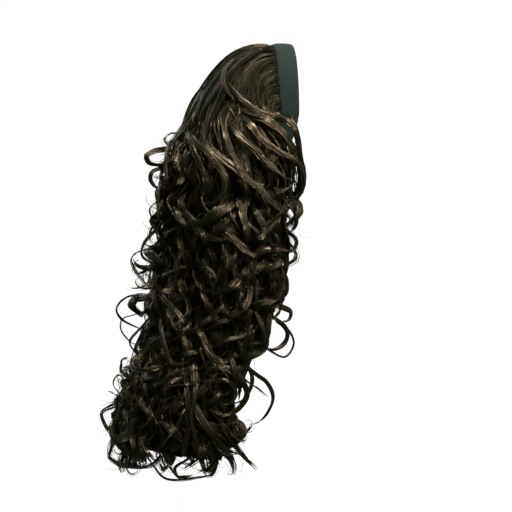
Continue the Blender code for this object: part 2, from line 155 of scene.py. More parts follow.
# Single locks that give the hair its drawing, each listed from the photo. width and lift, how far the
# lock rises off the hair, are in millimetres. path holds the pixels that it passes, from its root on. A lock on
# both sides is mirrored for the left one.
# tone is each lock's fibre shade from 0 to 1. Tones of 0.55 and above, as on swoop_bright, ribbon_bright and
# the rolls and crescents, are painted highlight: lighter fibre for locks that shine at their bends.
Traced = namedtuple("Traced", "name width strands tone both lift path")
TRACED = (
    Traced("crown_top", 10, 12, 0.45, True, 2, (
        (277, 46), (262, 50), (250, 56), (240, 64), (228, 78), (216, 94), (206, 108), (200, 122),
    )),
    Traced("crown_front", 8, 10, 0.5, True, 2, (
        (277, 60), (265, 63), (256, 72), (252, 85), (251, 100), (252, 114),
    )),
    Traced("crown_band", 7, 9, 0.5, True, 2, (
        (278, 72), (266, 76), (260, 85), (259, 100), (262, 112),
    )),
    Traced("crown_temple", 6, 8, 0.45, True, 2, (
        (278, 86), (270, 88), (267, 95), (268, 108),
    )),
    Traced("crown_swell", 9, 11, 0.62, True, 3, (
        (244, 54), (232, 62), (225, 72), (224, 84), (229, 94), (238, 103),
    )),
    Traced("crown_back", 10, 11, 0.4, True, 2, (
        (240, 52), (226, 66), (213, 82), (203, 100), (196, 118), (190, 134),
    )),
    Traced("crown_side", 10, 11, 0.45, True, 2, (
        (252, 52), (238, 68), (226, 88), (217, 108), (210, 126), (206, 142),
    )),
    Traced("frizz", 0.5, 1, 0.6, False, 4, (
        (202, 101), (222, 101), (229, 106), (235, 115), (237, 120), (233, 126), (243, 135),
    )),
    Traced("swoop", 8, 11, 0.42, True, 4, (
        (226, 65), (228, 84), (235, 92), (252, 107), (275, 117), (287, 121), (293, 127), (298, 140),
        (300, 155), (303, 170), (304, 182), (300, 194), (293, 199), (286, 205), (283, 222),
    )),
    Traced("swoop_under", 8, 10, 0.42, True, 5, (
        (236, 102), (245, 112), (256, 117), (268, 122), (277, 129), (284, 136), (290, 145), (296, 158),
        (301, 172), (303, 185), (299, 194),
    )),
    Traced("swoop_inner", 8, 9, 0.4, True, 5, (
        (238, 108), (250, 118), (262, 122), (275, 127), (283, 133), (289, 143), (292, 158), (293, 175),
        (289, 190), (280, 198),
    )),
    # painted highlight: this lock's lighter tone stands in for its shine
    Traced("swoop_bright", 8, 11, 0.55, True, 7, (
        (240, 112), (252, 126), (263, 141), (272, 148), (283, 155), (293, 159), (302, 172), (303, 185),
        (298, 198),
    )),
    Traced("swoop_band", 6, 9, 0.4, True, 4, (
        (254, 103), (266, 110), (278, 115), (288, 119), (295, 126), (297, 138), (294, 150),
    )),
    Traced("fan_short", 8, 10, 0.5, True, 7, (
        (228, 120), (238, 132), (247, 142), (257, 150), (265, 160), (275, 170), (285, 180), (288, 192),
    )),
    Traced("fan_long", 9, 11, 0.5, True, 7, (
        (205, 136), (212, 148), (222, 158), (235, 167), (246, 178), (258, 188), (270, 199), (282, 210),
        (291, 222), (290, 235),
    )),
    Traced("turn_over", 10, 11, 0.55, True, 7, (
        (190, 132), (197, 143), (207, 150), (216, 160), (223, 170), (226, 182), (222, 197), (213, 204),
        (204, 199),
    )),
    Traced("arc_one", 8, 9, 0.45, False, 7, (
        (186, 128), (192, 142), (200, 160), (206, 175), (208, 190), (203, 204),
    )),
    Traced("arc_two", 8, 9, 0.45, False, 7, (
        (174, 138), (180, 150), (190, 165), (197, 180), (196, 191), (189, 203),
    )),
    Traced("arc_three", 8, 9, 0.4, True, 7, (
        (222, 122), (226, 138), (232, 152), (240, 168), (246, 185), (248, 200),
    )),
    Traced("ribbon_left", 9, 10, 0.6, False, 7, (
        (164, 178), (170, 193), (176, 205), (180, 216), (175, 227),
    )),
    Traced("crescent", 8, 9, 0.6, False, 8, (
        (184, 204), (189, 215), (197, 222), (205, 220), (210, 212),
    )),
    Traced("crescent_low", 9, 10, 0.55, False, 8, (
        (190, 212), (197, 228), (209, 237), (222, 240), (232, 235),
    )),
    # painted highlight: this lock's lighter tone stands in for its shine
    Traced("ribbon_bright", 9, 11, 0.66, False, 8, (
        (212, 214), (223, 230), (238, 242), (250, 253), (260, 258),
    )),
    Traced("ribbon_side", 8, 9, 0.55, False, 7, (
        (239, 194), (241, 208), (246, 222), (248, 238),
    )),
    Traced("ribbon_front", 9, 10, 0.5, False, 7, (
        (250, 203), (259, 216), (265, 230), (263, 244), (254, 252),
    )),
    Traced("roll_front", 8, 9, 0.6, False, 8, (
        (244, 264), (253, 255), (264, 250), (275, 251), (281, 258),
    )),
    Traced("roll_low", 8, 9, 0.5, False, 8, (
        (160, 316), (163, 332), (167, 350), (174, 364), (186, 364), (194, 356),
    )),
    Traced("slash", 8, 9, 0.5, False, 7, (
        (194, 322), (203, 336), (210, 352), (218, 364), (228, 376), (232, 390),
    )),
    Traced("slash_left", 7, 8, 0.5, False, 7, (
        (158, 290), (170, 302), (182, 316), (192, 330),
    )),
    Traced("hook_one", 9, 11, 0.5, False, 2, (
        (206, 118), (199, 129), (190, 135), (180, 142), (168, 148), (155, 152), (148, 156), (150, 162),
        (161, 165), (172, 160), (179, 152),
    )),
    Traced("wire_one", 2.5, 3, 0.5, False, 2, (
        (196, 125), (181, 132), (171, 135), (166, 140), (169, 147), (178, 149),
    )),
    Traced("hook_two", 8, 9, 0.5, False, 2, (
        (190, 152), (176, 162), (162, 168), (154, 173), (152, 180), (157, 187), (165, 184),
    )),
    Traced("wire_two", 2, 3, 0.5, False, 2, (
        (170, 192), (157, 201), (151, 210), (154, 219), (162, 222),
    )),
    Traced("hook_three", 6, 8, 0.45, False, 2, (
        (168, 220), (155, 230), (146, 244), (144, 255), (150, 262), (158, 258),
    )),
    Traced("hook_four", 5, 6, 0.5, False, 2, (
        (160, 244), (146, 251), (137, 254), (133, 259), (138, 272), (149, 286), (156, 288), (153, 280),
        (145, 272),
    )),
    Traced("roll_left", 9, 11, 0.6, False, 4, (
        (184, 250), (170, 261), (152, 269), (138, 265), (134, 257),
    )),
    Traced("loop_big", 3, 5, 0.5, False, 2, (
        (176, 301), (160, 298), (145, 295), (130, 297), (121, 303), (118, 310), (122, 318), (136, 327),
        (149, 330),
    )),
    Traced("ringlet_left", 11, 12, 0.62, False, 4, (
        (164, 292), (148, 297), (137, 299), (133, 306), (139, 312), (152, 312), (161, 304),
    )),
    Traced("loop_small", 2.5, 4, 0.5, False, 2, (
        (148, 311), (134, 316), (123, 320), (122, 328), (131, 341), (140, 343), (146, 336),
    )),
    Traced("hook_five", 5, 6, 0.5, False, 2, (
        (154, 316), (141, 327), (131, 342), (134, 351), (143, 355),
    )),
    Traced("strip_left", 6, 8, 0.45, False, 3, (
        (146, 322), (138, 340), (133, 358), (136, 370), (144, 374),
    )),
    Traced("hook_six", 5, 6, 0.5, False, 2, (
        (156, 366), (142, 377), (132, 377), (122, 368), (124, 360), (132, 361),
    )),
    Traced("loop_thin", 2, 3, 0.55, False, 2, (
        (142, 390), (130, 400), (122, 395), (115, 381), (118, 376), (127, 383), (133, 391),
    )),
    Traced("stray", 1, 2, 0.5, False, 2, (
        (132, 406), (121, 398), (107, 391),
    )),
    Traced("edge_low", 5, 6, 0.45, False, 2, (
        (128, 400), (113, 407), (104, 413), (107, 424), (113, 436), (124, 446),
    )),
    Traced("ringlet_low", 10, 12, 0.5, False, 3, (
        (136, 428), (122, 438), (112, 449), (111, 456), (117, 461), (130, 465), (146, 467), (158, 462),
    )),
    Traced("loop_bottom", 4, 5, 0.5, False, 3, (
        (142, 440), (147, 455), (155, 467), (164, 477), (178, 480), (196, 478), (210, 474), (217, 466),
    )),
    Traced("loop_bottom_two", 4, 5, 0.5, False, 4, (
        (200, 448), (187, 459), (175, 469), (177, 476), (188, 477), (198, 472),
    )),
    Traced("tassel_left", 8, 10, 0.45, False, 7, (
        (186, 370), (188, 392), (190, 412), (187, 438), (183, 462),
    )),
    Traced("tassel_right", 7, 9, 0.4, False, 7, (
        (200, 376), (195, 396), (192, 414), (196, 440), (200, 464),
    )),
    Traced("swirl", 9, 12, 0.5, False, 8, (
        (200, 380), (212, 369), (228, 369), (241, 379), (246, 393), (239, 407), (225, 414), (210, 409),
    )),
    Traced("swirl_inner", 6, 8, 0.5, False, 8, (
        (208, 392), (214, 382), (224, 379), (233, 386), (235, 396), (228, 404), (218, 404),
    )),
    Traced("low_slash", 9, 10, 0.5, False, 7, (
        (192, 398), (202, 418), (214, 436), (227, 449), (240, 453),
    )),
    Traced("tip_lock", 7, 10, 0.5, False, 5, (
        (216, 410), (226, 432), (238, 450), (248, 461), (259, 471),
    )),
    Traced("brush_tip", 7, 8, 0.5, True, 3, (
        (276, 192), (288, 202), (296, 213), (296, 225), (290, 236),
    )),
    Traced("hook_right", 5, 7, 0.5, True, 3, (
        (276, 218), (288, 231), (297, 243), (293, 250), (282, 250), (270, 248),
    )),
    Traced("edge_right", 7, 8, 0.45, True, 3, (
        (268, 254), (280, 268), (286, 282), (284, 295), (275, 303),
    )),
    Traced("ribbon_end", 8, 9, 0.6, True, 4, (
        (258, 298), (270, 303), (282, 307), (291, 313), (289, 320), (279, 322),
    )),
    Traced("hook_right_low", 6, 8, 0.5, True, 3, (
        (264, 312), (279, 321), (288, 333), (284, 344), (272, 350), (262, 345),
    )),
    Traced("loop_right", 3, 5, 0.5, False, 3, (
        (274, 320), (289, 330), (294, 344), (286, 356), (271, 351), (260, 343),
    )),
    Traced("loop_lone", 4.5, 8, 0.5, True, 3, (
        (234, 348), (246, 364), (257, 374), (266, 382), (273, 395), (269, 411), (260, 421), (250, 425),
        (243, 422),
    )),
    Traced("loop_lone_thin", 2, 3, 0.5, False, 3, (
        (236, 364), (246, 380), (258, 389), (270, 398),
    )),
    Traced("edge_low_right", 7, 8, 0.45, True, 4, (
        (248, 334), (251, 350), (246, 368), (240, 386), (239, 402),
    )),
)

# Lifts in millimetres of the first two spots of the locks that start at the band
LIFTS_AT_BAND = {
    "crown_top": (4, 1),
    "crown_front": (1, 1),
    "crown_band": (0, 1),
    "crown_temple": (0, 1),
}


def linear(colour):
    """An sRGB hex colour as linear red, green and blue."""
    parts = [int(colour[i : i + 2], 16) / 255 for i in (1, 3, 5)]
    return tuple(p / 12.92 if p <= 0.04045 else ((p + 0.055) / 1.055) ** 2.4 for p in parts)


# Sums on arrays of points


def unit(vectors):
    length = np.linalg.norm(vectors, axis=-1, keepdims=True)
    return vectors / np.maximum(length, 1e-9)


def square_to(vectors, way):
    return unit(vectors - way * np.sum(vectors * way, axis=-1, keepdims=True))


def smooth_step(share):
    share = np.clip(share, 0, 1)
    return share * share * (3 - 2 * share)


def signed_power(value, power):
    return np.sign(value) * np.abs(value) ** power


def wander(rng, along, waves, shape=()):
    """Smooth random paths over along (0 to 1), about 1 high, with up to this many waves."""
    total = np.zeros(shape + np.shape(along)[-1:])
    for wave in (0.35, 0.7, 1.0):
        phase = rng.uniform(0, 2 * math.pi, shape + (1,))
        rate = waves * wave * rng.uniform(0.8, 1.2, shape + (1,))
        total = total + np.sin(2 * math.pi * rate * along + phase) / 1.8
    return total


def lengths_along(points):
    steps = np.linalg.norm(np.diff(points, axis=-2), axis=-1)
    return np.concatenate([np.zeros(steps.shape[:-1] + (1,)), np.cumsum(steps, axis=-1)], axis=-1)


def eased(points, reach):
    """Paths with each point moved to the mean of its neighbours up to reach points away."""
    padded = np.concatenate([points[:, :1].repeat(reach, 1), points, points[:, -1:].repeat(reach, 1)], axis=1)
    total = np.cumsum(np.concatenate([np.zeros_like(padded[:, :1]), padded], axis=1), axis=1)
    return (total[:, 2 * reach + 1 :] - total[:, : -(2 * reach + 1)]) / (2 * reach + 1)


# The surface that the hair flows on


def level_at(depth):
    table = np.array(LEVELS)
    knots = table[:, 0]
    slopes = np.gradient(table, knots, axis=0)
    held = np.clip(depth, 0, 1)
    i = np.clip(np.searchsorted(knots, held, side="right") - 1, 0, len(knots) - 2)
    span = knots[i + 1] - knots[i]
    t = ((held - knots[i]) / span)[..., None]
    span = span[..., None]
    values = (
        table[i] * (2 * t**3 - 3 * t**2 + 1)
        + slopes[i] * span * (t**3 - 2 * t**2 + t)
        + table[i + 1] * (3 * t**2 - 2 * t**3)
        + slopes[i + 1] * span * (t**3 - t**2)
    )
    return Level(*np.moveaxis(values, -1, 0))


def height_of(depth):
    return -CROWN_TO_EAR - SEAM_GAP - depth * HAIR_DROP


def arc_points(around, back, centre, front, half_width, squareness, height):
    reach = centre - back
    turned = np.arccos(np.clip(signed_power((centre - front) / reach, squareness / 2), -1, 1))
    angle = turned * around
    x = centre - reach * signed_power(np.cos(angle), 2 / squareness)
    y = half_width * signed_power(np.sin(angle), 2 / squareness)
    return np.stack([x, y, height + 0 * x], axis=-1)


def fall_points(around, depth):
    level = level_at(depth)
    return arc_points(
        around,
        -level.back * HAIR_BACK,
        level.centre * HAIR_BACK,
        level.front * HAIR_BACK,
        level.width * HAIR_HALF_WIDTH,
        2.0,
        height_of(depth),
    )


def hollow_points(around, depth):
    level = level_at(depth)
    return arc_points(
        around,
        -level.hollow_back * HEAD_BACK - 0.0028,
        level.hollow_centre * HEAD_BACK,
        level.front * HAIR_BACK,
        level.hollow_width * HEAD_HALF_WIDTH + BAND_THICKNESS + 0.0012,
        HEAD_SQUARENESS,
        height_of(depth),
    )


def head_radius(direction, back):
    drop = np.where(direction[..., 2] < 0, EAR_TO_NAPE, CROWN_TO_EAR)
    axes = np.stack([np.full_like(drop, back), np.full_like(drop, HEAD_HALF_WIDTH), drop], axis=-1)
    return np.sum(np.abs(direction / axes) ** HEAD_SQUARENESS, axis=-1) ** (-1 / HEAD_SQUARENESS)


def crown_points(around, share, lift=None):
    """The combed hair's surface from the band (share 0) to ear level (1), or lift metres off the head."""
    around, share = np.broadcast_arrays(around, share)
    top = level_at(np.zeros(around.shape))
    reach = (top.back + top.centre) * HAIR_BACK
    wide = top.width * HAIR_HALF_WIDTH
    turn = np.arccos(np.clip((top.centre - top.front) * HAIR_BACK / reach, -1, 1)) * around
    side = np.arctan2(wide * np.sin(turn), reach * np.cos(turn))
    back = share * math.pi / 2
    ahead = np.cos(side)
    direction = np.stack([-ahead * np.sin(back), np.sin(side), ahead * np.cos(back)], axis=-1)
    radius = head_radius(direction, HEAD_BACK + CAP_FRONT)
    if lift is None:
        rim = 1 / np.hypot(np.cos(side) / reach, np.sin(side) / wide)
        level_way = np.stack([-np.cos(side), np.sin(side), 0 * side], axis=-1)
        at_rim = rim - head_radius(level_way, HEAD_BACK + CAP_FRONT)
        lift = CROWN_HAIR_AT_BAND + (at_rim - CROWN_HAIR_AT_BAND) * np.maximum(share, 0) ** CROWN_SWELL
    return EAR_CENTRE + direction * (radius + lift)[..., None]


def flow_points(around, place):
    """The outer surface: place runs from -1 at the band over 0 at ear level to 1 at the lowest level."""
    around, place = np.broadcast_arrays(np.asarray(around, float), np.asarray(place, float))
    held = np.clip(around, -1, 1)
    crown = crown_points(held, np.clip(1 + place, 0, 1))
    fall = fall_points(held, np.maximum(place, 0))
    points = np.where((place < 0)[..., None], crown, fall)
    points[..., 0] += 0.11 * (np.abs(around) - np.abs(held))
    return points


def flow_frame(around, place):
    """Points of the outer surface and the way out of it there."""
    step = 0.004
    points = flow_points(around, place)
    held = np.clip(around, -0.97, 0.97)
    aside = flow_points(held + step, place) - flow_points(held - step, place)
    level = np.clip(place, -0.97, 0.96)
    down = flow_points(held, level + step) - flow_points(held, level - step)
    return points, unit(np.cross(aside, down))


def drawn_in(around, place):
    """The hair's front edges lie further back below the jaw, where only single curls reach forward."""
    below_jaw = 0.03 + 0.05 * smooth_step((place - 0.42) / 0.14) - 0.05 * smooth_step((place - 0.78) / 0.12)
    waist = 0.10 * (smooth_step((place - 0.50) / 0.20) - smooth_step((place - 0.76) / 0.14))
    return around * (1 - below_jaw - waist)


def dip(around, place):
    depth = np.interp(place, [row.place for row in BACK_DIPS], [row.depth for row in BACK_DIPS])
    return depth * np.cos(np.clip(around, -1, 1) * math.pi / 2) ** 2


# Meshes from arrays

Bundle = namedtuple("Bundle", "points side width thick tone")
UV_ROWS = 8
STRAND_CORNERS = 3
CORE_CORNERS = 8
FIBRE_STRETCH = 30
WIDEST_HAIR = 0.126


def strand_arrays(bundle, corners):
    """Corner points, faces, texture places and fibre places for a bundle of closed, tapered tubes."""
    points = bundle.points
    count, knots, _ = points.shape
    tangent = unit(np.gradient(points, axis=1))
    side = square_to(bundle.side, tangent)
    rise = np.cross(tangent, side)
    turn = 2 * math.pi * np.arange(corners) / corners
    inner = slice(1, knots - 1)
    rings = (
        points[:, inner, None]
        + side[:, inner, None] * (bundle.width[:, inner, None] * np.cos(turn))[..., None]
        + rise[:, inner, None] * (bundle.thick[:, inner, None] * np.sin(turn))[..., None]
    )
    ring_count = knots - 2
    verts = np.concatenate([rings.reshape(count, -1, 3), points[:, :1], points[:, -1:]], axis=1)
    j, k = np.meshgrid(np.arange(ring_count - 1), np.arange(corners), indexing="ij")
    following = (k + 1) % corners
    near, far = j * corners, (j + 1) * corners
    quads = np.stack([near + k, near + following, far + following, far + k]).reshape(4, -1).T
    u = np.stack([k, k + 1, k + 1, k]).reshape(4, -1).T / corners
    v = np.stack([j + 1, j + 1, j + 2, j + 2]).reshape(4, -1).T / (knots - 1)
    k = np.arange(corners)
    following = (k + 1) % corners
    root, tip, last = ring_count * corners, ring_count * corners + 1, (ring_count - 1) * corners
    ends = np.concatenate(
        [
            np.stack([following, k, np.full(corners, root)], axis=1),
            np.stack([last + k, last + following, np.full(corners, tip)], axis=1),
        ]
    )
    root_u = np.stack([k + 1, k, k + 0.5], axis=1)
    tip_u = np.stack([k, k + 1, k + 0.5], axis=1)
    end_u = np.concatenate([root_u, tip_u]) / corners
    near, far = 1 / (knots - 1), 1 - 1 / (knots - 1)
    end_v = np.concatenate([np.tile([near, near, 0], (corners, 1)), np.tile([far, far, 1], (corners, 1))])
    flat = bundle.width[:, inner, None] * np.cos(turn)
    deep = bundle.thick[:, inner, None] * np.sin(turn)
    length = lengths_along(points)[:, inner, None] + 0 * turn
    comb = np.stack([flat, deep, length / FIBRE_STRETCH], axis=-1)
    comb = np.concatenate([comb.reshape(count, -1, 3), comb[:, 0, :1], comb[:, -1, :1]], axis=1)
    return verts, quads, ends, (u, v), (end_u, end_v), comb


def object_from(name, verts, loops, sizes, uvs, values):
    """A mesh object in the scene from flat arrays of corners, loops, face sizes, texture places and values."""
    mesh = bpy.data.meshes.new(name)
    mesh.vertices.add(len(verts))
    mesh.vertices.foreach_set("co", verts.astype(np.float32).ravel())
    mesh.loops.add(len(loops))
    mesh.loops.foreach_set("vertex_index", loops.astype(np.int32))
    mesh.polygons.add(len(sizes))
    starts = np.concatenate([[0], np.cumsum(sizes)[:-1]])
    mesh.polygons.foreach_set("loop_start", starts.astype(np.int32))
    mesh.update(calc_edges=True)
    layer = mesh.uv_layers.new(name="OFBake")
    layer.uv.foreach_set("vector", uvs.astype(np.float32).ravel())
    for label, numbers in values.items():
        kind, key = ("FLOAT", "value") if numbers.ndim == 1 else ("FLOAT_VECTOR", "vector")
        attribute = mesh.attributes.new(label, kind, "POINT")
        attribute.data.foreach_set(key, numbers.astype(np.float32).ravel())
    mesh.shade_smooth()
    obj = bpy.data.objects.new(name, mesh)
    bpy.context.scene.collection.objects.link(obj)
    return obj


def strands_object(name, bundles, corners=STRAND_CORNERS):
    """One mesh of all the strands, each with a strip of its own in the texture."""
    total = sum(len(bundle.points) for bundle in bundles)
    columns = math.ceil(total / UV_ROWS)
    verts, loops, sizes, uvs, tones, combs = [], [], [], [], [], []
    first_vert, first_strand = 0, 0
    for bundle in bundles:
        points, quads, ends, (u, v), (end_u, end_v), comb = strand_arrays(bundle, corners)
        count, per_strand = points.shape[:2]
        number = first_strand + np.arange(count)
        left = (number % columns + 0.08) / columns
        low = (number // columns + 0.02) / UV_ROWS
        offsets = (first_vert + np.arange(count) * per_strand)[:, None, None]
        for faces, (across, down) in ((quads, (u, v)), (ends, (end_u, end_v))):
            loops.append((faces[None] + offsets).reshape(-1))
            sizes.append(np.full(count * len(faces), faces.shape[1]))
            place_u = left[:, None, None] + across[None] * 0.84 / columns
            place_v = low[:, None, None] + down[None] * 0.96 / UV_ROWS
            uvs.append(np.stack([place_u, place_v], axis=-1).reshape(-1, 2))
        verts.append(points.reshape(-1, 3))
        tones.append(np.repeat(bundle.tone, per_strand))
        combs.append((comb + number[:, None, None] * 0.037).reshape(-1, 3))
        first_vert += count * per_strand
        first_strand += count
    return object_from(
        name,
        kept_near(np.concatenate(verts)),
        np.concatenate(loops),
        np.concatenate(sizes),
        np.concatenate(uvs),
        {"tone": np.concatenate(tones), "comb": np.concatenate(combs)},
    )


def kept_near(points):
    """Points that stand out too far to the sides, drawn in to the room that the hair has."""
    wide = np.abs(points[:, 1])
    over = np.maximum(wide - WIDEST_HAIR, 0)
    points[:, 1] = np.sign(points[:, 1]) * (wide - over + 0.017 * np.tanh(over / 0.022))
    return points


def shell_object(name, outer, inner, tone):
    """A closed shell between two grids of points, rows by columns."""
    rows, columns, _ = outer.shape
    size = rows * columns
    index = np.arange(size).reshape(rows, columns)
    a, b, c, d = index[:-1, :-1], index[:-1, 1:], index[1:, 1:], index[1:, :-1]
    front = np.stack([a, d, c, b], axis=-1).reshape(-1, 4)
    back = np.stack([a, b, c, d], axis=-1).reshape(-1, 4) + size
    rim = np.concatenate([index[0], index[1:, -1], index[-1, -2::-1], index[-2:0:-1, 0]])
    onward = np.roll(rim, -1)
    edge = np.stack([rim, onward, onward + size, rim + size], axis=-1)
    faces = np.concatenate([front, back, edge])
    u = np.tile(np.linspace(0.01, 0.49, columns), (rows, 1)).ravel()
    v = np.tile(np.linspace(0.99, 0.01, rows)[:, None], (1, columns)).ravel()
    places = np.stack([np.concatenate([u, u + 0.5]), np.concatenate([v, v])], axis=-1)
    return object_from(
        name,
        np.concatenate([outer.reshape(-1, 3), inner.reshape(-1, 3)]),
        faces.reshape(-1),
        np.full(len(faces), 4),
        places[faces.reshape(-1)],
        {"tone": np.full(2 * size, tone)},
    )


def ring_object(name, rings):
    """A closed tube through rings of points, with flat ends."""
    count, corners, _ = rings.shape
    i, k = np.meshgrid(np.arange(count - 1), np.arange(corners), indexing="ij")
    following = (k + 1) % corners
    near, far = i * corners, (i + 1) * corners
    sides = np.stack([near + k, near + following, far + following, far + k]).reshape(4, -1).T
    u = np.stack([k, k + 1, k + 1, k]).reshape(4, -1).T / corners
    v = np.stack([i, i, i + 1, i + 1]).reshape(4, -1).T / (count - 1)
    ends = np.concatenate([np.arange(corners)[::-1], (count - 1) * corners + np.arange(corners)])
    turn = 2 * math.pi * np.arange(corners) / corners
    disc = np.stack([0.5 + 0.02 * np.cos(turn), 0.975 + 0.02 * np.sin(turn)], axis=-1)
    tube = np.stack([u * 0.98 + 0.01, v * 0.93 + 0.01], axis=-1).reshape(-1, 2)
    places = np.concatenate([tube, disc, disc])
    loops = np.concatenate([sides.reshape(-1), ends])
    sizes = np.concatenate([np.full(len(sides), 4), [corners, corners]])
    tones = {"tone": np.full(count * corners, 0.5)}
    return object_from(name, rings.reshape(-1, 3), loops, sizes, places, tones)


# Hair


def laid_paths(rng, around, start, end, ride, wave, pitch, tilt, round_share, tip_lift, steps=120):
    """Centre lines down the outer surface, waving more and more, with the way across each lock's ribbon."""
    count = len(around)
    share = np.linspace(0, 1, steps)
    place = start[:, None] + (end - start)[:, None] * share
    line = around[:, None] + rng.uniform(-0.05, 0.05, (count, 1)) * share
    line = line + 0.035 * wander(rng, share, 1.3, (count,)) * smooth_step(share * 2.5)
    points, out = flow_frame(drawn_in(line, place), place)
    free = smooth_step((place + 0.16) / 0.36)
    lift = -0.011 + (0.011 + ride[:, None] * free) * smooth_step(share / 0.25)
    lift = lift + tip_lift[:, None] * smooth_step((share - 0.6) / 0.4) * free - dip(line, place)
    points = eased(points + out * lift[..., None], 6)
    way = unit(np.gradient(points, axis=1))
    out = square_to(out, way)
    across = np.cross(way, out)
    spots = lengths_along(points)
    paces = pitch[:, None] * (1 + 0.25 * wander(rng, share, 1.5, (count,))) * (1.15 - 0.55 * share)
    turning = np.cumsum(2 * math.pi * np.gradient(spots, axis=1) / paces, axis=1)
    phase = rng.uniform(0, 2 * math.pi, (count, 1)) + turning
    swing = wave[:, None] * smooth_step((spots - 0.02) / 0.10) * (1 + 0.25 * wander(rng, share, 1.5, (count,)))
    swing = swing * (0.65 + 0.5 * smooth_step((share - 0.3) / 0.5)) * (0.12 + 0.88 * free)
    lean = tilt[:, None] * smooth_step(share * 1.3) + 0.35 * wander(rng, share, 1.2, (count,))
    rise = np.cos(lean)[..., None] * out + np.sin(lean)[..., None] * across
    ribbon = np.cos(lean)[..., None] * across - np.sin(lean)[..., None] * out
    points = points + (swing * np.sin(phase))[..., None] * rise
    points = points + (swing * round_share[:, None] * np.cos(phase))[..., None] * ribbon
    return points, ribbon


def with_hooks(points, ribbon, radius, turned, hand, twist, steps=56):
    """The paths going on into curled ends, each with its own radius and turn."""
    way = unit(points[:, -1] - points[:, -3])
    side = square_to(ribbon[:, -1], way)
    spot = points[:, -1]
    pace = (radius * turned / steps)[:, None]
    added, sides = [], []
    for number in range(steps):
        part = number / steps
        bend = (smooth_step((part + 0.06) / 0.35) * (0.85 + 0.65 * part) / radius)[:, None]
        inward = hand[:, None] * np.cross(side, way)
        way = unit(way + inward * bend * pace)
        side = square_to(side + inward * (twist[:, None] * pace), way)
        spot = spot + way * pace
        added.append(spot)
        sides.append(side)
    return np.concatenate([points, np.stack(added, 1)], 1), np.concatenate([ribbon, np.stack(sides, 1)], 1)


def lock_spread(part):
    """How wide a lock is along its length: widest before its middle, gathered in at its end."""
    swell = 0.75 + 0.35 * np.sin(math.pi * np.clip(part * 1.25, 0, 1))
    return swell * (1 - 0.45 * smooth_step((part - 0.7) / 0.3))


def lock_bundle(rng, path, ribbon, strands, knots, width, half, tone, fray=0.0018, depth=0.0007):
    """One lock's strands side by side across its ribbon, half metres to each side, loosening to the end."""
    length = lengths_along(path)
    total = length[-1]
    clumps = rng.integers(0, 3, strands) - 1
    places = clumps * 0.60 + rng.uniform(-0.40, 0.40, strands)
    last = total * (1 - 0.16 * rng.random(strands) ** 1.5)
    first = total * 0.05 * rng.random(strands)
    share = np.linspace(0, 1, knots)
    spots = first[:, None] + (last - first)[:, None] * (1.3 * share - 0.3 * share**2)
    points = np.stack([np.interp(spots, length, path[:, i]) for i in range(3)], axis=-1)
    side = np.stack([np.interp(spots, length, ribbon[:, i]) for i in range(3)], axis=-1)
    way = unit(np.gradient(points, axis=1))
    side = square_to(side, way)
    rise = np.cross(side, way)
    part = spots / total
    spread = lock_spread(part)
    spread = spread * (1 + 0.15 * wander(rng, share, 2.0))
    loose = wander(rng, share, 2.2, (strands,)) * (0.0004 + fray * 0.55 * part)
    stacked = rng.normal(0, 0.5, strands)[:, None] * (depth + fray * part**2) + 0.0006 * clumps[:, None]
    points = points + side * (places[:, None] * width / 2 * spread + loose)[..., None]
    stacked = stacked + 0.6 * wander(rng, share, 2.6, (strands,)) * (0.0003 + fray * 0.4 * part)
    points = points + rise * stacked[..., None]
    ends = smooth_step(share / 0.05 + 0.3) * (1 - 0.8 * smooth_step((share - 0.84) / 0.16))
    thick = half * np.exp(rng.normal(0, 0.28, strands))[:, None] * ends
    tones = tone + rng.normal(0, 0.20, strands) + 0.06 * clumps
    tones = np.where(rng.random(strands) < 0.12, tones + 0.40, tones)
    rolled = rng.normal(0, 0.22, strands)[:, None, None]
    return Bundle(points, side + rise * rolled, thick, thick * 0.5, np.clip(tones, 0, 1))


def lock_core(rng, path, ribbon, knots, width, thick, tone):
    """The closely combed middle of a lock, as one flat tapering ribbon."""
    length = lengths_along(path)
    share = np.linspace(0, 1, knots)
    spots = length[-1] * (0.02 + (0.94 - 0.10 * rng.random()) * (1.3 * share - 0.3 * share**2))
    points = np.stack([np.interp(spots, length, path[:, i]) for i in range(3)], axis=-1)
    side = np.stack([np.interp(spots, length, ribbon[:, i]) for i in range(3)], axis=-1)
    part = spots / length[-1]
    spread = lock_spread(part)
    spread = spread * (1 + 0.18 * wander(rng, share, 2.0)) * smooth_step(share / 0.06 + 0.2)
    spread = spread * (1 - 0.75 * smooth_step((share - 0.80) / 0.20) ** 1.5)
    half = 0.5 * width * spread
    flat = 0.5 * thick * (0.35 + 0.65 * spread)
    return Bundle(points[None], side[None], half[None], np.minimum(flat, half)[None], np.array([tone]))


